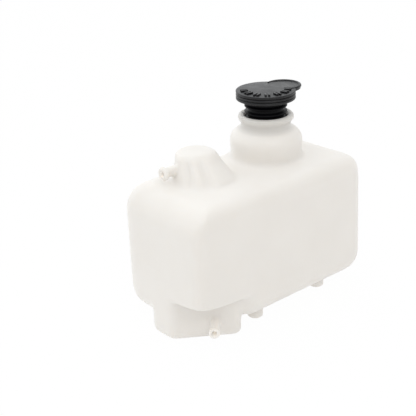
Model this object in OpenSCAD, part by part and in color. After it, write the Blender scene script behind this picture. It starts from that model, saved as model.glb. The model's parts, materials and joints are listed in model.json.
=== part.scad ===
// Coolant expansion tank with a push-in filler plug.
// The tank is one blow-moulded bottle: body, sump, vent hump, filler neck, hose nipples and
// feet share one thin wall. The plug is one moulding of soft rubber.
// The tank stands on its feet and sump at z = 0, with the origin below the middle of its body.

/* [Body] */
// Length of the body at its underside
body_l = 164; // [155:1:185]
// Width of the body
body_w = 85; // [80:1:100]
// Height of the body's top above the ground
body_top = 99.6; // [90:0.2:118]
// Height of the body's underside at the sump end
belly_z = 10.2; // [8:0.1:12]
// How much lower the underside lies at the other end
belly_drop = 3.6; // [0:0.1:5]
// How much shorter the body is at its top than at its underside
end_lean = 3.7; // [0:0.1:8]
// Radius of the upright corners
corner_r = 19; // [18:0.5:26]
// Radius of the upright corner above the sump's nipple, which is sharper
near_corner_r = 8; // [6:0.5:14]
// Radius of the edge round the top
top_r = 17.5; // [10:0.5:17.5]
// Radius of the top's long edge on the side of the sump's nipple, which is sharper
front_top_r = 10.5; // [6:0.5:14]
// Radius of the edge round the underside
belly_r = 15.5; // [8:0.5:17]
// Thickness of the moulded wall
wall = 2.2; // [1.6:0.1:2.6]

/* [Sump] */
// Length of the sump along the body
sump_l = 43; // [38:1:50]
// Width of the sump at its inner end
sump_w = 80; // [70:1:81]
// Width of the sump's flat outer end
sump_end_w = 19; // [12:1:26]
// Radius of the upright corners at the sump's outer end
sump_corner_r = 8; // [5:0.5:10]
// Radius of the sharper corners at the sump's inner end
sump_inner_r = 5; // [4:0.5:8]
// Radius of the sump's bottom edge
sump_edge_r = 4; // [3:0.5:7]
// Height of the body corner that overhangs the front of the sump
chin_z = 30.3; // [26:0.1:34]
// Height of the soft edge under that corner
chin_r = 6; // [3:0.5:14]

/* [Vent hump] */
// Place of the hump's foot along the body
hump_x = -35.6; // [-38:0.1:-30]
// Place of the hump's foot across the body
hump_y = 5; // [0:0.5:10]
// How far the hump's top stands behind its foot, across the body
hump_back = 10; // [0:0.5:11]
// How far the hump's top stands behind its foot, along the body
hump_side = 1.8; // [0:0.1:3]
// Radius of the hump's foot
hump_foot_r = 20; // [18:0.5:23]
// Radius of the hump's shoulder, below its rounded top
hump_top_r = 15; // [12:0.5:16]
// Height of the hump above the body
hump_h = 16.8; // [15:0.1:20]
// Radius of the rounding at the hump's top
hump_edge_r = 5; // [3:0.5:6]
// Depth of the two flutes in the hump's side
flute_depth = 3.2; // [1:0.1:4]

/* [Filler neck] */
// Place of the neck along the body
neck_x = 25.5; // [20:0.5:40]
// Place of the neck across the body
neck_y = 7.5; // [-5:0.5:10]
// Radius of the wide collar below the neck
collar_r = 25.4; // [23:0.1:27]
// Height of the collar's straight wall above the body
collar_h = 11.6; // [9:0.1:15]
// Radius of the collar's shoulder
shoulder_r = 9; // [6:0.1:10]
// Radius of the bore that the plug fits
bore_r = 15.1; // [13:0.1:16]
// Wall of the neck round the bore
neck_wall = 2.1; // [1.6:0.1:2.4]
// Height of the neck's mouth above the body
neck_h = 30.6; // [28:0.1:38]
// Radius of the section of the rolled bead at the mouth
bead_r = 2.4; // [1.6:0.1:2.8]

/* [Hose nipples] */
// Outer radius of a nipple's tube
nipple_r = 3.4; // [2.8:0.1:4]
// Radius of a nipple's bore
nipple_bore_r = 1.9; // [1.2:0.1:2.2]
// How far the bead stands out from the tube of the sump's nipple
sump_nipple_bead = 0.6; // [0.4:0.1:1.6]
// How far the bead stands out from the tube of the hump's nipple
hump_nipple_bead = 1.5; // [0.6:0.1:1.6]
// Length of the sump's nipple outside its wall
sump_nipple_l = 15.5; // [12:0.5:19]
// Height of the sump's nipple above the ground
sump_nipple_z = 12.4; // [11:0.1:15]
// Turn of the sump's nipple away from square on its wall
sump_nipple_turn = -10; // [-20:1:20]
// Length of the hump's nipple, from the hump's axis
hump_nipple_l = 29; // [25:0.5:34]
// Height of the hump's nipple above the body
hump_nipple_z = 7.6; // [7:0.1:9]

/* [Feet] */
// Radius of a foot
foot_r = 5.5; // [4:0.1:6]
// Distance between the feet along the body
foot_pitch_x = 62.8; // [55:0.1:70]
// Distance between the feet across the body
foot_pitch_y = 49; // [40:0.1:56]
// Place of the middle of the feet along the body
feet_x = 13; // [8:0.1:20]

/* [Plug] */
// Radius of the plug's head
head_r = 20.6; // [20:0.1:24]
// Thickness of the plug's head
head_t = 5.9; // [4:0.1:7]
// Gap between the head and the neck as the plug stands half pulled
plug_lift = 10.6; // [6:0.1:13]
// Clearance between the plug's ribs and the bore
rib_gap = 0.3; // [0.2:0.05:0.5]
// Depth of the ribs
rib_depth = 1.3; // [0.8:0.1:2]
// Distance between the ribs
rib_pitch = 4; // [3.4:0.1:4.4]
// Length of the plug's stem below its head
stem_l = 18.8; // [17:0.1:24]
// Radius of the pull tab
tab_r = 12.8; // [10:0.1:14]
// Distance from the plug's axis to the middle of the tab
tab_reach = 17; // [15:0.5:20]
// Thickness of the pull tab
tab_t = 2.4; // [1.6:0.1:3.6]

/* [Hidden] */
$fn = 64;
// Steps along a quarter round, the turns at which the top's edge has a ring, and points round the hump
edge_steps = 6;
top_turns = [0, 15, 30, 45, 56, 65, 73, 80, 86, 90];
hump_points = 80;
hump_points_inside = 48;
// How deep one moulded form laps into the next, so that they join
lap = 0.4;
belly_span = body_top - belly_z;
lean_z = belly_z + belly_r;
x0 = -body_l / 2;
y0 = -body_w / 2;

// The slanted front wall of the sump, from its end face to its inner corner
slant_a = [x0, -sump_end_w / 2];
slant_b = [x0 + sump_l, -sump_w / 2];
slant_run = slant_b - slant_a;
slant_n = [slant_run.y, -slant_run.x] / norm(slant_run);
slant_d = slant_n * slant_a;
slant_angle = atan2(slant_n.y, slant_n.x);
// How far the sump's nipple stands from the middle of that wall
sump_nipple_shift = 3.9;

// Hump levels above the body's top, and its flutes: [angle round the foot, half width]
foot_flare = 2.5;
hump_shoulder_h = hump_h - hump_edge_r;
flutes = [[205, 11], [243, 17]];

// Foot flare and mouth of a nipple, the rounded edge under a foot and the flare of its root
nipple_flare = 1.2;
nipple_flare_h = 1.6;
nipple_lip = 0.3;
foot_edge = 1.2;
foot_root = 0.8;
foot_root_flare = 1.4;

// Neck and plug levels
mouth_z = body_top + neck_h;
neck_r = bore_r + neck_wall;
collar_draft = 0.8;
collar_fillet = 3;
head_z = mouth_z + plug_lift;
rib_r = bore_r - rib_gap;
core_r = rib_r - rib_depth;
plug_wall = 2.6;
rib_count = 3;
rib_first = 5.8;
rib_top = 1.2;
rib_bottom = 1.3;
rib_tip = 0.6;
stem_nose = 2;
nose_taper = 1.4;
rim_lips = 3;
rim_groove = 0.45;
rim_round = 0.5;
tab_bead = 1.1;
tab_bead_rise = 0.5;

// Plain raised bars in an arc on the front of the head, in place of lettering
bar_count = 9;
bar_l = 5.4;
bar_w = 1.5;
bar_h = 0.5;
bar_ring_r = 15.4;
bar_step = 21;
bar_middle = 229;

// Points of a fillet of radius r at corner b, between corners a and c, in the given steps
function fillet_points(a, b, c, r, steps) =
    let (
        u = (a - b) / norm(a - b),
        v = (c - b) / norm(c - b),
        half = acos(u * v) / 2,
        middle = b + (u + v) / norm(u + v) * r / sin(half),
        turn = 180 - 2 * half,
        start = atan2(-u.y, -u.x) - 90
    )
    [for (i = [0 : steps])
        let (w = start + turn * i / steps)
        middle + r * [cos(w), sin(w)]];

// A closed outline with every corner rounded: corners run anticlockwise, as [point, radius, steps]
function rounded(corners) =
    let (n = len(corners))
    [for (i = [0 : n - 1])
        each fillet_points(
            corners[(i + n - 1) % n][0], corners[i][0], corners[(i + 1) % n][0],
            corners[i][1], corners[i][2])];

// Where the slanted wall at distance d meets the body's end (x given) or its side (y given)
function slant_at_x(d, x) = [x, (d - slant_n.x * x) / slant_n.y];
function slant_at_y(d, y) = [(d - slant_n.y * y) / slant_n.x, y];

// The body's outline at height z, drawn in by inset, and by front on the side of the sump's nipple.
// cut runs from 0, a plain round corner, to 1, where the corner in front of the sump is cut back
// to the sump's slanted wall.
function body_outline(z, inset, front, cut) =
    let (
        xa = x0 + inset,
        xb = -x0 - end_lean * max(0, z - lean_z) / (body_top - lean_z) - inset,
        ya = y0 + front,
        r = max(corner_r - inset, 0.6),
        r_near = max(near_corner_r - inset, 0.6),
        r_cut = r_near + (sump_corner_r - near_corner_r) * cut * (r_near / near_corner_r),
        d_round = slant_n * [xa + r_near, ya + r_near] + r_near,
        d = d_round + (slant_d - lap - inset - d_round) * cut
    )
    rounded([
        [slant_at_x(d, xa), r_cut, edge_steps - 1],
        [slant_at_y(d, ya), r_cut, edge_steps - 1],
        [[xb, ya], r, edge_steps + 2],
        [[xb, -y0 - inset], r, edge_steps + 2],
        [[xa, -y0 - inset], r, edge_steps + 2]]);

// How far a round edge of radius r has drawn in at a depth below its top
function round_inset(r, depth) = depth < r ? r - sqrt(r * r - (r - depth) * (r - depth)) : 0;

// One ring of the body: the outline at height z, let down towards the far end by belly_drop
function body_ring(z, inset, front, cut) =
    [for (p = body_outline(z, inset, front, cut))
        [p.x, p.y, z - belly_drop * (p.x - x0) / body_l * (body_top - z) / belly_span]];

// A solid skinned over a stack of rings that all have as many points
module loft(rings) {
    n = len(rings[0]);
    last = len(rings) - 1;
    polyhedron(
        points = [for (ring = rings) each ring],
        faces = [
            [for (i = [0 : n - 1]) i],
            for (k = [0 : last - 1], i = [0 : n - 1])
                let (a = k * n + i, b = k * n + (i + 1) % n)
                each [[a, a + n, b + n], [a, b + n, b]],
            [for (i = [n - 1 : -1 : 0]) last * n + i]
        ]);
}

// The body as a closed form, with every face moved in by skin
module body_form(skin) {
    q = 90 / edge_steps;
    low = belly_r - skin;
    high = top_r - skin;
    high_front = front_top_r - skin;
    loft([
        for (i = [0 : edge_steps])
            let (inset = skin + low * (1 - sin(i * q)))
            body_ring(belly_z + skin + low * (1 - cos(i * q)), inset, inset, 1),
        for (i = [0 : edge_steps])
            body_ring(
                chin_z + skin + (chin_r - skin) * (1 - cos(i * q)), skin, skin, 1 - sin(i * q)),
        for (turn = top_turns)
            let (depth = high * (1 - sin(turn)))
            body_ring(
                body_top - skin - depth, skin + high * (1 - cos(turn)),
                skin + round_inset(high_front, depth), 0)
    ]);
}

// The sump as a closed form, with every face moved in by skin, up to the level given
module sump_form(skin, top) {
    q = 90 / edge_steps;
    edge = sump_edge_r - skin;
    end = x0 + lap;
    inner = slant_b.x;
    function ring(z, inset) =
        let (
            d = slant_d - inset,
            r_end = max(sump_corner_r - inset, 0.6),
            r_inner = max(sump_inner_r - inset, 0.6),
            a = slant_at_x(d, end + inset),
            b = slant_at_x(d, inner - inset)
        )
        [for (p = rounded([
            [a, r_end, edge_steps],
            [b, r_inner, edge_steps],
            [[b.x, -b.y], r_inner, edge_steps],
            [[a.x, -a.y], r_end, edge_steps]])) [p.x, p.y, z]];
    loft([
        for (i = [0 : edge_steps])
            ring(skin + edge * (1 - cos(i * q)), skin + edge * (1 - sin(i * q))),
        ring(top, skin)
    ]);
}

// How deep the flutes are, from 0 to 1: at an angle round the hump, and at a height on it
function flute(angle) =
    max([for (f = flutes)
        let (off = abs(angle - f[0]))
        off < f[1] ? pow(cos(90 * off / f[1]), 2) : 0]);
function flute_fade(h) = h > 0 && h < hump_h ? pow(sin(180 * pow(h / hump_h, 0.6)), 0.7) : 0;

// The vent hump as a closed form, with every face moved in by skin and so many points round it
module hump_form(skin, points) {
    q = 90 / edge_steps;
    edge = hump_edge_r - skin;
    bend = foot_flare + skin;
    slope = (hump_foot_r - hump_top_r) / (hump_shoulder_h - foot_flare);
    function ring(h, r) =
        [for (i = [0 : points - 1])
            let (
                angle = 360 * i / points,
                rr = r - skin - flute_depth * flute(angle) * flute_fade(h + skin)
            )
            [hump_x + hump_side * h / hump_h + rr * cos(angle),
             hump_y + hump_back * h / hump_h + rr * sin(angle),
             body_top + h]];
    loft([
        ring(-skin - wall - lap, hump_foot_r + bend),
        for (i = [0 : 3])
            ring(foot_flare - bend * cos(i * 30), hump_foot_r + bend * (1 - sin(i * 30))),
        for (i = [1 : 3])
            let (h = (hump_shoulder_h - foot_flare) * i / 4)
            ring(foot_flare + h, hump_foot_r - slope * h),
        for (i = [0 : edge_steps])
            ring(hump_shoulder_h + edge * sin(i * q), hump_top_r - edge * (1 - cos(i * q)))
    ]);
}

// The filler neck's outside: collar with a filleted foot, shoulder, neck and rolled bead
module neck_outside() {
    foot = collar_r - collar_draft;
    translate([neck_x, neck_y, body_top])
        rotate_extrude() {
            polygon([
                [0, -wall], [foot, -wall], [foot, 0], [collar_r, collar_h],
                [collar_r - shoulder_r, collar_h + shoulder_r], [0, collar_h + shoulder_r]]);
            translate([foot - lap, 0])
                difference() {
                    square(collar_fillet + lap);
                    translate([collar_fillet + lap, collar_fillet + lap]) circle(collar_fillet + lap);
                }
            translate([collar_r - shoulder_r, collar_h])
                intersection() {
                    circle(shoulder_r);
                    square(shoulder_r + 1);
                }
            square([neck_r, neck_h - bead_r]);
            translate([neck_r + (bead_r - neck_wall) - lap, neck_h - bead_r]) circle(bead_r);
        }
}

// The space inside the filler neck, open at the mouth
module neck_inside() {
    inner = collar_r - wall;
    round_r = shoulder_r - wall;
    translate([neck_x, neck_y, body_top])
        rotate_extrude() {
            polygon([
                [0, -2 * wall], [inner - collar_draft, -2 * wall], [inner - collar_draft, 0],
                [inner, collar_h], [inner - round_r, collar_h + round_r], [0, collar_h + round_r]]);
            translate([inner - round_r, collar_h])
                intersection() {
                    circle(round_r);
                    square(round_r + 1);
                }
            square([bore_r, neck_h + 1]);
        }
}

// A hose nipple along +Z from its root: a tube with a flared foot and a bead near its mouth
module nipple_outside(length, root, bead) {
    rotate_extrude() {
        translate([0, -root]) square([nipple_r, length + root]);
        polygon([
            [0, -root], [nipple_r + nipple_flare, -root], [nipple_r + nipple_flare, 0],
            [nipple_r, nipple_flare_h], [0, nipple_flare_h]]);
        translate([nipple_r - lap / 2, length - bead - nipple_lip]) circle(bead + lap / 2);
    }
}

module nipple_inside(length, root) {
    translate([0, 0, -root]) cylinder(r = nipple_bore_r, h = length + root + 1);
}

// Puts its children at the sump's nipple, which stands square on the slanted wall
module at_sump_nipple() {
    middle = (slant_a + slant_b) / 2;
    along = slant_run / norm(slant_run) * sump_nipple_shift;
    translate([middle.x + along.x, middle.y + along.y, sump_nipple_z])
        rotate([0, 90, slant_angle + sump_nipple_turn])
            children();
}

// Puts its children at the hump's nipple, which points towards the sump end
module at_hump_nipple() {
    translate([hump_x + hump_side, hump_y + hump_back, body_top + hump_nipple_z])
        rotate([0, -90, 0])
            children();
}

// Height of the belly's underside at a place along the body
function belly_at(x) = belly_z - belly_drop * (x - x0) / body_l;

// A foot: a round peg whose root flares into the belly's sloping underside
module foot_outside(root) {
    height = belly_z + 5;
    rotate_extrude() {
        square([foot_r - foot_edge, root]);
        translate([0, foot_edge]) square([foot_r, root - foot_edge]);
        translate([foot_r - foot_edge, foot_edge]) circle(foot_edge);
        polygon([
            [0, root], [foot_r, root], [foot_r + foot_root_flare, root + foot_root_flare],
            [foot_r + foot_root_flare, height], [0, height]]);
    }
}

module feet_outside() {
    for (sx = [-1, 1], sy = [-1, 1])
        let (x = feet_x + sx * foot_pitch_x / 2)
            translate([x, sy * foot_pitch_y / 2, 0])
                foot_outside(belly_at(x) - foot_root);
}

// The bottle: every outer form joined, less the one space that they enclose
module tank() {
    sump_rise = chin_z + 3;
    color("whitesmoke")
        difference() {
            union() {
                body_form(0);
                sump_form(0, sump_rise);
                hump_form(0, hump_points);
                neck_outside();
                at_sump_nipple() nipple_outside(sump_nipple_l, wall - lap, sump_nipple_bead);
                at_hump_nipple() nipple_outside(hump_nipple_l, 0, hump_nipple_bead);
                feet_outside();
            }
            body_form(wall);
            sump_form(wall, sump_rise + wall);
            hump_form(wall, hump_points_inside);
            neck_inside();
            at_sump_nipple() nipple_inside(sump_nipple_l, wall + 1);
            at_hump_nipple() nipple_inside(hump_nipple_l, 0);
        }
}

// The section of the plug's head: a rim of rounded lips with grooves between them
module head_section() {
    pitch = head_t / rim_lips;
    square([head_r - rim_groove, head_t]);
    for (i = [0 : rim_lips - 1])
        translate([0, i * pitch]) {
            translate([0, rim_round / 2]) square([head_r, pitch - rim_round]);
            for (z = [rim_round, pitch - rim_round])
                translate([head_r - rim_round, z]) circle(rim_round);
        }
}

// The section of the plug's stem, with its ribs and its tapered nose
module stem_section() {
    start = stem_nose - stem_l;
    translate([0, start]) square([core_r, stem_l - stem_nose + 1]);
    polygon([[0, -stem_l], [core_r - nose_taper, -stem_l], [core_r, start], [0, start]]);
    for (i = [0 : rib_count - 1])
        translate([core_r - lap, -rib_first - i * rib_pitch])
            polygon([
                [0, rib_top], [rib_depth + lap, rib_tip], [rib_depth + lap, -rib_tip], [0, -rib_bottom]]);
}

// The pull tab: a round lobe with a raised bead along its free edge
module pull_tab() {
    translate([tab_reach, 0, head_t - tab_t]) cylinder(r = tab_r - tab_bead / 2, h = tab_t - 0.3);
    translate([tab_reach, 0, head_t + tab_bead_rise - tab_bead])
        rotate([0, 0, -105])
            rotate_extrude(angle = 210)
                translate([tab_r - tab_bead, 0]) circle(tab_bead);
}

// The plug: a grooved head with a pull tab, on a hollow stem with ribs that grip the bore
module plug() {
    color([0.12, 0.12, 0.13])
        translate([neck_x, neck_y, head_z]) {
            rotate_extrude()
                difference() {
                    union() {
                        head_section();
                        stem_section();
                    }
                    translate([0, -stem_l - 1]) square([core_r - plug_wall, stem_l]);
                }
            pull_tab();
            for (i = [0 : bar_count - 1])
                rotate([0, 0, bar_middle + (i - (bar_count - 1) / 2) * bar_step])
                    translate([bar_ring_r, 0, head_t + bar_h / 2 - 0.1])
                        cube([bar_l, bar_w, bar_h + 0.2], center = true);
        }
}

tank();
plug();
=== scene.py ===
# A coolant expansion tank: a milky blow-moulded bottle with a soft black filler plug.
import json
import math

import bmesh
import bpy
from mathutils import Matrix, Vector


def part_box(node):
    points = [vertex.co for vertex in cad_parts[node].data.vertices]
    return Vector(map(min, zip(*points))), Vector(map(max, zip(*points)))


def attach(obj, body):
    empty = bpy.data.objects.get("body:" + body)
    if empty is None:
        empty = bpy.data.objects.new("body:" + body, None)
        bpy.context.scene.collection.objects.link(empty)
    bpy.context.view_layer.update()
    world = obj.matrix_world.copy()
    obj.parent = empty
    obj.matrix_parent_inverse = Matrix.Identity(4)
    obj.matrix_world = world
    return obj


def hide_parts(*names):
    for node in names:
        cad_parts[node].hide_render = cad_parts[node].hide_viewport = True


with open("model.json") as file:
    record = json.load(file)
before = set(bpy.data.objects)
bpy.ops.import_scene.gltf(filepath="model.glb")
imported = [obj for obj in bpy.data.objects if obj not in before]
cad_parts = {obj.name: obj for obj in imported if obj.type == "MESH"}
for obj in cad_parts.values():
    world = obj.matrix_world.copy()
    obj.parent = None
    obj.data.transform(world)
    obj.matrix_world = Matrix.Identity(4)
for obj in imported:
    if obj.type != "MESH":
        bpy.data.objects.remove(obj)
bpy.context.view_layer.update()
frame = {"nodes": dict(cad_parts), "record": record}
bpy.context.scene.view_settings.view_transform = "Standard"


# Bottle
# The bottle is one blow-moulded shell of milky polyethylene. The mould leaves its edges soft, most
# of all where the body's chin meets the sump, and crisper at the nipples, the mouth and the feet.
mounts = {mount["name"]: mount for mount in frame["record"]["mounts"]}
neck_mouth = Vector(mounts["filler_mouth"]["pos_m"])
hump_nipple_mouth = Vector(mounts["hump_nipple"]["pos_m"])
hump_nipple_way = -Vector(mounts["hump_nipple"]["axis"])
sump_nipple_mouth = Vector(mounts["sump_nipple"]["pos_m"])
sump_nipple_way = -Vector(mounts["sump_nipple"]["axis"])
weld = 1e-6
wall_voxel = 0.001
bottle_triangles = 190000
softening = 0.5
blend_passes = 8
detail_passes = 2
# The chin is softened most, between two heights and from the sump's end up to chin_end.
chin_passes = 28
chin_low = 0.019
chin_high = 0.044
chin_end = -0.034
# How far the crisp places reach: down from the mouth, in along a nipple and up a foot.
neck_crisp_height = 0.0077
neck_crisp_radius = 0.02
hump_nipple_crisp = 0.0155
sump_nipple_crisp = 0.0125
nipple_crisp_radius = 0.0068
foot_crisp_height = 0.0045
foot_crisp_end = -0.03
milk_shade = (0.725, 0.695, 0.655, 1.0)
milk_light = (0.77, 0.745, 0.71, 1.0)
milk_cloud_size = 32.0
milk_pit_size = 700.0
milk_pit_strength = 0.25
milk_pit_depth = 0.0002
milk_smoothest = 0.34
milk_roughest = 0.46
# Painted shade: the neck's wall is painted darker where the dark stem stands behind it, from
# stem_shade_low up.
stem_shade = (0.59, 0.57, 0.54, 1.0)
stem_shade_low = 0.1165
stem_shade_high = 0.1235
stem_shade_radius = 0.0193
stem_shade_edge = 0.0015
stem_shade_reach = 0.02
# Painted light: the milky wall glows a little everywhere, and more inside the nipples' bores, for the
# light that comes through the wall.
painted_wall_glow = (0.065, 0.064, 0.062, 1.0)
painted_bore_glow = (0.165, 0.161, 0.155, 1.0)
bore_radius = 0.00195
bore_edge = 0.0001
bore_depth = 0.02


def new_group(name, inputs, outputs):
    group = bpy.data.node_groups.new(name, "ShaderNodeTree")
    for kind, label, value in inputs:
        socket = group.interface.new_socket(label, in_out="INPUT", socket_type=kind)
        socket.default_value = value
    for kind, label in outputs:
        group.interface.new_socket(label, in_out="OUTPUT", socket_type=kind)
    return group, group.nodes.new("NodeGroupInput"), group.nodes.new("NodeGroupOutput")


def make_moulded_skin():
    """Two masks of a moulded skin: the faint clouds in the plastic and the fine pits on it."""
    group, given, out = new_group(
        "moulded_skin",
        [
            ("NodeSocketFloat", "Cloud Size", 60.0),
            ("NodeSocketFloat", "Pit Size", 900.0),
        ],
        [("NodeSocketFloat", "Cloud"), ("NodeSocketFloat", "Pits")],
    )
    place = group.nodes.new("ShaderNodeTexCoord")
    cloud = group.nodes.new("ShaderNodeTexNoise")
    cloud.inputs["Detail"].default_value = 3.0
    cloud.inputs["Roughness"].default_value = 0.55
    pits = group.nodes.new("ShaderNodeTexNoise")
    pits.inputs["Detail"].default_value = 2.0
    for noise, size, label in ((cloud, "Cloud Size", "Cloud"), (pits, "Pit Size", "Pits")):
        group.links.new(place.outputs["Object"], noise.inputs["Vector"])
        group.links.new(given.outputs[size], noise.inputs["Scale"])
        group.links.new(noise.outputs["Fac"], out.inputs[label])
    return group


moulded_skin = make_moulded_skin()


def put_on_skin(nodes, links, shader, cloud_size, pit_size, pit_strength, pit_depth):
    """Gives the shader the skin's pits, and returns the skin's node for its masks."""
    skin = nodes.new("ShaderNodeGroup")
    skin.node_tree = moulded_skin
    skin.inputs["Cloud Size"].default_value = cloud_size
    skin.inputs["Pit Size"].default_value = pit_size
    bump = nodes.new("ShaderNodeBump")
    bump.inputs["Strength"].default_value = pit_strength
    bump.inputs["Distance"].default_value = pit_depth
    links.new(skin.outputs["Pits"], bump.inputs["Height"])
    links.new(bump.outputs["Normal"], shader.inputs["Normal"])
    return skin


def roughen(nodes, links, shader, mask, smoothest, roughest):
    gloss = nodes.new("ShaderNodeMapRange")
    gloss.inputs["To Min"].default_value = smoothest
    gloss.inputs["To Max"].default_value = roughest
    links.new(mask, gloss.inputs["Value"])
    links.new(gloss.outputs["Result"], shader.inputs["Roughness"])


def make_line_mask():
    """One within Radius of the line through Point, up to Length along Way, and else nothing."""
    group, given, out = new_group(
        "line_mask",
        [
            ("NodeSocketVector", "Point", (0.0, 0.0, 0.0)),
            ("NodeSocketVector", "Way", (0.0, 0.0, 1.0)),
            ("NodeSocketFloat", "Radius", 0.002),
            ("NodeSocketFloat", "Edge", 0.0002),
            ("NodeSocketFloat", "Length", 0.02),
        ],
        [("NodeSocketFloat", "Inside")],
    )
    place = group.nodes.new("ShaderNodeTexCoord")
    from_point = group.nodes.new("ShaderNodeVectorMath")
    from_point.operation = "SUBTRACT"
    across = group.nodes.new("ShaderNodeVectorMath")
    across.operation = "CROSS_PRODUCT"
    distance = group.nodes.new("ShaderNodeVectorMath")
    distance.operation = "LENGTH"
    rim = group.nodes.new("ShaderNodeMath")
    rim.operation = "ADD"
    within = group.nodes.new("ShaderNodeMapRange")
    within.inputs["To Min"].default_value = 1.0
    within.inputs["To Max"].default_value = 0.0
    along = group.nodes.new("ShaderNodeVectorMath")
    along.operation = "DOT_PRODUCT"
    before_end = group.nodes.new("ShaderNodeMath")
    before_end.operation = "LESS_THAN"
    both = group.nodes.new("ShaderNodeMath")
    both.operation = "MULTIPLY"
    for start, end in (
        (place.outputs["Object"], from_point.inputs[0]),
        (given.outputs["Point"], from_point.inputs[1]),
        (from_point.outputs["Vector"], across.inputs[0]),
        (given.outputs["Way"], across.inputs[1]),
        (across.outputs["Vector"], distance.inputs[0]),
        (given.outputs["Radius"], rim.inputs[0]),
        (given.outputs["Edge"], rim.inputs[1]),
        (distance.outputs["Value"], within.inputs["Value"]),
        (given.outputs["Radius"], within.inputs["From Min"]),
        (rim.outputs["Value"], within.inputs["From Max"]),
        (from_point.outputs["Vector"], along.inputs[0]),
        (given.outputs["Way"], along.inputs[1]),
        (along.outputs["Value"], before_end.inputs[0]),
        (given.outputs["Length"], before_end.inputs[1]),
        (within.outputs["Result"], both.inputs[0]),
        (before_end.outputs["Value"], both.inputs[1]),
        (both.outputs["Value"], out.inputs["Inside"]),
    ):
        group.links.new(start, end)
    return group


line_mask = make_line_mask()


def about_line(nodes, point, way, radius, edge, length):
    pillar = nodes.new("ShaderNodeGroup")
    pillar.node_tree = line_mask
    pillar.inputs["Point"].default_value = point
    pillar.inputs["Way"].default_value = way
    pillar.inputs["Radius"].default_value = radius
    pillar.inputs["Edge"].default_value = edge
    pillar.inputs["Length"].default_value = length
    return pillar.outputs["Inside"]


def mix_colours(nodes, links, first, second, share):
    """A colour that goes from first to second with share. First may be another node's output."""
    mix = nodes.new("ShaderNodeMix")
    mix.data_type = "RGBA"
    if isinstance(first, bpy.types.NodeSocket):
        links.new(first, mix.inputs["A"])
    else:
        mix.inputs["A"].default_value = first
    mix.inputs["B"].default_value = second
    links.new(share, mix.inputs["Factor"])
    return mix.outputs["Result"]


def painted_neck_shade(nodes, links):
    """How much of the painted stem shade the neck's wall takes: none below the stem, and all of it
    above.
    """
    place = nodes.new("ShaderNodeTexCoord")
    parts = nodes.new("ShaderNodeSeparateXYZ")
    links.new(place.outputs["Object"], parts.inputs["Vector"])
    rise = nodes.new("ShaderNodeMapRange")
    rise.interpolation_type = "SMOOTHSTEP"
    rise.inputs["From Min"].default_value = stem_shade_low
    rise.inputs["From Max"].default_value = stem_shade_high
    links.new(parts.outputs["Z"], rise.inputs["Value"])
    neck_wall = about_line(
        nodes, neck_mouth, (0.0, 0.0, 1.0), stem_shade_radius, stem_shade_edge, stem_shade_reach
    )
    both = nodes.new("ShaderNodeMath")
    both.operation = "MULTIPLY"
    links.new(rise.outputs["Result"], both.inputs[0])
    links.new(neck_wall, both.inputs[1])
    return both.outputs["Value"]


def make_milky_polyethylene():
    material = bpy.data.materials.new("milky_polyethylene")
    material.use_nodes = True
    nodes, links = material.node_tree.nodes, material.node_tree.links
    shader = nodes["Principled BSDF"]
    skin = put_on_skin(
        nodes, links, shader, milk_cloud_size, milk_pit_size, milk_pit_strength, milk_pit_depth
    )
    roughen(nodes, links, shader, skin.outputs["Pits"], milk_smoothest, milk_roughest)
    milk = mix_colours(nodes, links, milk_shade, milk_light, skin.outputs["Cloud"])
    # Painted shade: the milk colour turns darker on the neck, where the dark stem stands behind the
    # wall.
    tint = mix_colours(nodes, links, milk, stem_shade, painted_neck_shade(nodes, links))
    links.new(tint, shader.inputs["Base Color"])
    # Painted light: an even glow on the wall, brighter inside the nipples' bores.
    bores = nodes.new("ShaderNodeMath")
    bores.operation = "MAXIMUM"
    for side, mouth, way in (
        (0, hump_nipple_mouth, hump_nipple_way),
        (1, sump_nipple_mouth, sump_nipple_way),
    ):
        bore = about_line(nodes, mouth, way, bore_radius, bore_edge, bore_depth)
        links.new(bore, bores.inputs[side])
    glow = mix_colours(nodes, links, painted_wall_glow, painted_bore_glow, bores.outputs["Value"])
    links.new(glow, shader.inputs["Emission Color"])
    shader.inputs["Emission Strength"].default_value = 1.0
    shader.inputs["IOR"].default_value = 1.42
    shader.inputs["Subsurface Weight"].default_value = 1.0
    shader.inputs["Subsurface Radius"].default_value = (1.0, 0.97, 0.92)
    shader.inputs["Subsurface Scale"].default_value = 0.002
    return material


def apply_modifiers(piece):
    """The piece's mesh becomes what its modifiers make of it."""
    graph = bpy.context.evaluated_depsgraph_get()
    made = bpy.data.meshes.new_from_object(piece.evaluated_get(graph))
    piece.modifiers.clear()
    old = piece.data
    piece.data = made
    bpy.data.meshes.remove(old)


def near_nipple(place, mouth, way, length):
    along = (place - mouth).dot(way)
    across = (place - mouth - way * along).length
    return along < length and across < nipple_crisp_radius


def holds_detail(place):
    """True where a point belongs to a nipple's free end, the neck's mouth or a foot's tip."""
    off_neck = (place - neck_mouth).xy.length
    return (
        near_nipple(place, hump_nipple_mouth, hump_nipple_way, hump_nipple_crisp)
        or near_nipple(place, sump_nipple_mouth, sump_nipple_way, sump_nipple_crisp)
        or (place.z > neck_mouth.z - neck_crisp_height and off_neck < neck_crisp_radius)
        or (place.z < foot_crisp_height and place.x > foot_crisp_end)
    )


def soften(shell, corners, passes):
    """Each pass draws every corner half-way to the middle of its neighbours."""
    for _ in range(passes):
        bmesh.ops.smooth_vert(
            shell,
            verts=corners,
            factor=softening,
            use_axis_x=True,
            use_axis_y=True,
            use_axis_z=True,
        )


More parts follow.
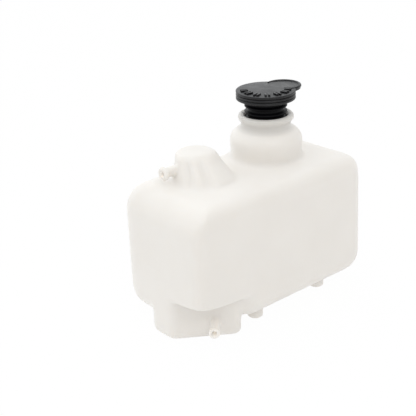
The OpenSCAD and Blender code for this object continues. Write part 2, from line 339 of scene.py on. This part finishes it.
def make_bottle():
    """The solid's own shell, with an even skin, softened edges and no more faces than it needs."""
    mesh = frame["nodes"]["tank"].data.copy()
    shell = bmesh.new()
    shell.from_mesh(mesh)
    bmesh.ops.remove_doubles(shell, verts=shell.verts, dist=weld)
    shell.to_mesh(mesh)
    shell.free()
    bottle = bpy.data.objects.new("bottle", mesh)
    bpy.context.scene.collection.objects.link(bottle)
    remesh = bottle.modifiers.new("even_skin", "REMESH")
    remesh.mode = "VOXEL"
    remesh.voxel_size = wall_voxel
    apply_modifiers(bottle)
    shell = bmesh.new()
    shell.from_mesh(bottle.data)
    soft = [v for v in shell.verts if not holds_detail(v.co)]
    chin = [v for v in shell.verts if chin_low < v.co.z < chin_high and v.co.x < chin_end]
    soften(shell, chin, chin_passes)
    soften(shell, soft, blend_passes)
    soften(shell, shell.verts, detail_passes)
    shell.to_mesh(bottle.data)
    shell.free()
    triangles = sum(len(face.vertices) - 2 for face in bottle.data.polygons)
    thin = bottle.modifiers.new("thin", "DECIMATE")
    thin.ratio = min(1.0, bottle_triangles / triangles)
    apply_modifiers(bottle)
    bottle.data.shade_smooth()
    bottle.data.materials.clear()
    bottle.data.materials.append(make_milky_polyethylene())
    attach(bottle, "bottle")
    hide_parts("tank")


make_bottle()


# Plug
# The plug is one moulding of soft black rubber: a head with a lipped rim and a pull tab, on a hollow
# stem whose ribs grip the neck. The stem is duller than the head.
# Heights of the section are measured from the head's underside.
head_radius = 0.0206
head_height = 0.0059
lip_count = 3
lip_groove = 0.0009
lip_rounding = 0.0004
stem_radius = 0.0127
stem_length = 0.0188
stem_hollow_radius = 0.0109
stem_hollow_top = -0.001
nose_height = 0.002
nose_taper = 0.0014
rib_radius = 0.0148
rib_count = 3
rib_first = 0.0048
rib_pitch = 0.0042
rib_root_half = 0.0013
rib_crest_half = 0.0004
rib_rounding = 0.00018
turning_steps = 128
tab_reach = 0.017
tab_radius = 0.0128
tab_thickness = 0.0021
tab_drop = 0.0003
tab_steps = 72
tab_bead_radius = 0.0011
tab_bead_rise = 0.0005
tab_bead_turn = math.radians(210)
tab_bead_steps = 60
tab_bead_sides = 16
bar_pairs = 7
bar_step = math.radians(27)
bar_gap = 0.0024
bar_middle = math.radians(229)
bar_ring_radius = 0.0151
bar_length = 0.0051
bar_width = 0.0014
bar_height = 0.0011
bar_edge = 0.0002
crease = math.radians(40)
plug_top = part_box("plug")[1].z
head_underside = Vector((neck_mouth.x, neck_mouth.y, plug_top - tab_bead_rise - head_height))
stem_margin = 0.0001
rubber_deep = (0.002, 0.002, 0.003, 1.0)
rubber_pale = (0.004, 0.004, 0.005, 1.0)
rubber_cloud_size = 150.0
rubber_pit_size = 2600.0
rubber_pit_strength = 0.35
rubber_pit_depth = 0.0001
rubber_smoothest = 0.24
rubber_roughest = 0.5
head_sheen = 0.5
stem_sheen = 0.12


def make_black_rubber(name, sheen):
    material = bpy.data.materials.new(name)
    material.use_nodes = True
    nodes, links = material.node_tree.nodes, material.node_tree.links
    shader = nodes["Principled BSDF"]
    skin = put_on_skin(
        nodes,
        links,
        shader,
        rubber_cloud_size,
        rubber_pit_size,
        rubber_pit_strength,
        rubber_pit_depth,
    )
    roughen(nodes, links, shader, skin.outputs["Cloud"], rubber_smoothest, rubber_roughest)
    tint = mix_colours(nodes, links, rubber_deep, rubber_pale, skin.outputs["Cloud"])
    links.new(tint, shader.inputs["Base Color"])
    shader.inputs["IOR"].default_value = 1.45
    shader.inputs["Specular IOR Level"].default_value = sheen
    return material


def wire(shape, points):
    """A chain of edges through the points, which are (radius, height) in the plane of the section."""
    corners = [shape.verts.new((radius, 0.0, height)) for radius, height in points]
    for a, b in zip(corners, corners[1:]):
        shape.edges.new((a, b))
    return corners


def round_corners(shape, corners, radius, segments):
    bmesh.ops.bevel(
        shape,
        geom=corners,
        offset=radius,
        offset_type="OFFSET",
        segments=segments,
        profile=0.5,
        affect="VERTICES",
        material=-1,
    )


def turn_section(shape):
    """The section's wire is spun a full turn about the upright axis, and closed."""
    bmesh.ops.spin(
        shape,
        geom=list(shape.verts) + list(shape.edges),
        cent=(0, 0, 0),
        axis=(0, 0, 1),
        angle=2 * math.pi,
        steps=turning_steps,
        use_merge=True,
    )
    bmesh.ops.remove_doubles(shape, verts=shape.verts, dist=weld)
    bmesh.ops.recalc_face_normals(shape, faces=shape.faces)


def lip_points():
    """The rim's corners from the top down: lips with narrow grooves between them."""
    pitch = head_height / lip_count
    points = [(head_radius, head_height)]
    for i in range(1, lip_count):
        level = head_height - i * pitch
        points.append((head_radius, level + lip_groove / 2))
        points.append((head_radius - lip_groove, level))
        points.append((head_radius, level - lip_groove / 2))
    points.append((head_radius, 0.0))
    return points


def rib_points():
    """The stem's side from the head down: a run of thin ribs, then the tapered nose."""
    points = [(stem_radius, 0.0)]
    for i in range(rib_count):
        level = -rib_first - i * rib_pitch
        points.append((stem_radius, level + rib_root_half))
        points.append((rib_radius, level + rib_crest_half))
        points.append((rib_radius, level - rib_crest_half))
        points.append((stem_radius, level - rib_root_half))
    points.append((stem_radius, nose_height - stem_length))
    points.append((stem_radius - nose_taper, -stem_length))
    return points


def turned_plug(shape):
    """Head and stem from one section. The rim and the stem's root take the larger rounding."""
    rim = lip_points()
    hollow = [
        (stem_hollow_radius, -stem_length),
        (stem_hollow_radius, stem_hollow_top),
        (0.0, stem_hollow_top),
    ]
    corners = wire(shape, [(0.0, head_height)] + rim + rib_points() + hollow)
    root = 1 + len(rim)
    round_corners(shape, corners[1 : root + 1], lip_rounding, 4)
    round_corners(shape, corners[root + 1 : -1], rib_rounding, 3)
    turn_section(shape)


def join_detail(shape, detail, matrix):
    """Puts a finished detail in its place on the plug."""
    bmesh.ops.transform(detail, matrix=matrix, verts=detail.verts)
    carrier = bpy.data.meshes.new("detail")
    detail.to_mesh(carrier)
    detail.free()
    shape.from_mesh(carrier)
    bpy.data.meshes.remove(carrier)


def tab_disc(shape):
    """The flat of the pull tab, which runs into the head."""
    disc = bmesh.new()
    bmesh.ops.create_circle(
        disc, cap_ends=True, segments=tab_steps, radius=tab_radius - tab_bead_radius / 2
    )
    grown = bmesh.ops.extrude_face_region(disc, geom=list(disc.faces))
    lifted = [g for g in grown["geom"] if isinstance(g, bmesh.types.BMVert)]
    bmesh.ops.translate(disc, vec=(0, 0, tab_thickness), verts=lifted)
    level = head_height - tab_drop - tab_thickness
    join_detail(shape, disc, Matrix.Translation((tab_reach, 0, level)))


def tab_bead(shape):
    """The raised bead round the tab's free edge."""
    bead = bmesh.new()
    bmesh.ops.create_circle(
        bead,
        cap_ends=True,
        segments=tab_bead_sides,
        radius=tab_bead_radius,
        matrix=Matrix.Translation((tab_radius - tab_bead_radius, 0, 0))
        @ Matrix.Rotation(math.pi / 2, 4, "X"),
    )
    bmesh.ops.spin(
        bead,
        geom=list(bead.faces) + list(bead.edges) + list(bead.verts),
        cent=(0, 0, 0),
        axis=(0, 0, 1),
        angle=tab_bead_turn,
        steps=tab_bead_steps,
        use_merge=False,
    )
    level = head_height + tab_bead_rise - tab_bead_radius
    place = Matrix.Translation((tab_reach, 0, level))
    join_detail(shape, bead, place @ Matrix.Rotation(-tab_bead_turn / 2, 4, "Z"))


def raised_bar(shape, angle, aside):
    """A bar with rounded edges, half of it sunk in the head, on the ring at angle and set aside."""
    bar = bmesh.new()
    bmesh.ops.create_cube(bar, size=1.0)
    size = Matrix.Diagonal((bar_length, bar_width, bar_height * 2, 1.0))
    bmesh.ops.transform(bar, matrix=size, verts=bar.verts)
    bmesh.ops.bevel(
        bar,
        geom=list(bar.edges),
        offset=bar_edge,
        offset_type="OFFSET",
        segments=2,
        profile=0.5,
        affect="EDGES",
        material=-1,
    )
    place = Matrix.Rotation(angle, 4, "Z") @ Matrix.Translation((bar_ring_radius, aside, head_height))
    join_detail(shape, bar, place)


def make_plug():
    shape = bmesh.new()
    turned_plug(shape)
    tab_disc(shape)
    tab_bead(shape)
    for i in range(bar_pairs):
        angle = bar_middle + (i - (bar_pairs - 1) / 2) * bar_step
        raised_bar(shape, angle, -bar_gap / 2)
        raised_bar(shape, angle, bar_gap / 2)
    bmesh.ops.recalc_face_normals(shape, faces=shape.faces)
    bmesh.ops.translate(shape, vec=head_underside, verts=shape.verts)
    mesh = bpy.data.meshes.new("rubber_plug")
    shape.to_mesh(mesh)
    shape.free()
    mesh.shade_smooth()
    mesh.set_sharp_from_angle(angle=crease)
    mesh.materials.append(make_black_rubber("black_rubber", head_sheen))
    mesh.materials.append(make_black_rubber("dull_black_rubber", stem_sheen))
    for face in mesh.polygons:
        if face.center.z < head_underside.z - stem_margin:
            face.material_index = 1
    plug = bpy.data.objects.new("rubber_plug", mesh)
    bpy.context.scene.collection.objects.link(plug)
    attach(plug, "stopper")
    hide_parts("plug")


make_plug()


# Camera
# It stands where the photograph was taken: in front of the sump end's near corner, a little above
# the tank, with a mild lens and a slight roll.
camera_place = Vector((-0.37718, -0.39439, 0.30686))
camera_azimuth = math.radians(-40.777)
camera_elevation = math.radians(23.535)
camera_roll = math.radians(-2.113)
camera_data = bpy.data.cameras.new("camera")
camera_data.sensor_width = 36
camera_data.lens = 73.84
camera_data.clip_start = 0.01
camera_data.clip_end = 20
camera = bpy.data.objects.new("camera", camera_data)
camera.matrix_world = (
    Matrix.Translation(camera_place)
    @ Matrix.Rotation(camera_azimuth, 4, "Z")
    @ Matrix.Rotation(math.pi / 2 - camera_elevation, 4, "X")
    @ Matrix.Rotation(camera_roll, 4, "Z")
)
bpy.context.scene.collection.objects.link(camera)
bpy.context.scene.camera = camera


# Studio
# A white floor under soft light: a surround that is brightest high up on the far side of the tank,
# and one wide lamp high up on its near side.
floor_size = 6.0
floor_paint = (0.9, 0.9, 0.9, 1.0)
floor_glow = 0.5
floor_glow_seen = 0.47
brightest_way = (-0.05, 0.7, 0.71)
sky_dark = 0.15
sky_bright = 1.38
sky_warm = (1.0, 0.98, 0.95, 1.0)
sky_cool = (0.955, 0.98, 1.0, 1.0)
lamp_place = Vector((-0.3, -0.9, 0.9))
lamp_target = Vector((0.0, 0.0, 0.05))
lamp_width = 0.9
lamp_watts = 3.8


def make_floor():
    """Half paint, which takes the tank's shadow, and half glow, with more of the glow to the eye."""
    sheet = bmesh.new()
    bmesh.ops.create_grid(sheet, x_segments=1, y_segments=1, size=floor_size / 2)
    mesh = bpy.data.meshes.new("floor")
    sheet.to_mesh(mesh)
    sheet.free()
    floor = bpy.data.objects.new("floor", mesh)
    bpy.context.scene.collection.objects.link(floor)
    material = bpy.data.materials.new("white_floor")
    material.use_nodes = True
    nodes, links = material.node_tree.nodes, material.node_tree.links
    nodes.remove(nodes["Principled BSDF"])
    paint = nodes.new("ShaderNodeBsdfDiffuse")
    paint.inputs["Color"].default_value = floor_paint
    white = nodes.new("ShaderNodeEmission")
    white.inputs["Strength"].default_value = 1.0
    blend = nodes.new("ShaderNodeMixShader")
    rays = nodes.new("ShaderNodeLightPath")
    share = nodes.new("ShaderNodeMath")
    share.operation = "MULTIPLY_ADD"
    share.inputs[1].default_value = floor_glow_seen
    share.inputs[2].default_value = floor_glow
    links.new(rays.outputs["Is Camera Ray"], share.inputs[0])
    links.new(share.outputs["Value"], blend.inputs["Fac"])
    links.new(paint.outputs["BSDF"], blend.inputs[1])
    links.new(white.outputs["Emission"], blend.inputs[2])
    links.new(blend.outputs["Shader"], nodes["Material Output"].inputs["Surface"])
    floor.data.materials.append(material)


def make_surround():
    """White to the eye, and otherwise a sky that grows brighter and cooler towards one side."""
    world = bpy.data.worlds.new("surround")
    bpy.context.scene.world = world
    world.use_nodes = True
    nodes, links = world.node_tree.nodes, world.node_tree.links
    light = nodes["Background"]
    way = nodes.new("ShaderNodeTexCoord")
    facing = nodes.new("ShaderNodeVectorMath")
    facing.operation = "DOT_PRODUCT"
    facing.inputs[1].default_value = brightest_way
    links.new(way.outputs["Generated"], facing.inputs[0])
    level = nodes.new("ShaderNodeMapRange")
    level.inputs["From Min"].default_value = -1.0
    level.inputs["From Max"].default_value = 1.0
    level.inputs["To Min"].default_value = sky_dark
    level.inputs["To Max"].default_value = sky_bright
    links.new(facing.outputs["Value"], level.inputs["Value"])
    links.new(level.outputs["Result"], light.inputs["Strength"])
    share = nodes.new("ShaderNodeMapRange")
    share.inputs["From Min"].default_value = -1.0
    share.inputs["From Max"].default_value = 1.0
    links.new(facing.outputs["Value"], share.inputs["Value"])
    tint = mix_colours(nodes, links, sky_warm, sky_cool, share.outputs["Result"])
    links.new(tint, light.inputs["Color"])
    white = nodes.new("ShaderNodeBackground")
    white.inputs["Color"].default_value = (1.0, 1.0, 1.0, 1.0)
    white.inputs["Strength"].default_value = 1.0
    rays = nodes.new("ShaderNodeLightPath")
    blend = nodes.new("ShaderNodeMixShader")
    links.new(rays.outputs["Is Camera Ray"], blend.inputs["Fac"])
    links.new(light.outputs["Background"], blend.inputs[1])
    links.new(white.outputs["Background"], blend.inputs[2])
    links.new(blend.outputs["Shader"], nodes["World Output"].inputs["Surface"])


def make_front_lamp():
    data = bpy.data.lights.new("front_lamp", "AREA")
    data.shape = "SQUARE"
    data.size = lamp_width
    data.energy = lamp_watts
    lamp = bpy.data.objects.new("front_lamp", data)
    lamp.location = lamp_place
    lamp.rotation_mode = "QUATERNION"
    lamp.rotation_quaternion = (lamp_target - lamp_place).to_track_quat("-Z", "Y")
    bpy.context.scene.collection.objects.link(lamp)


make_floor()
make_surround()
make_front_lamp()
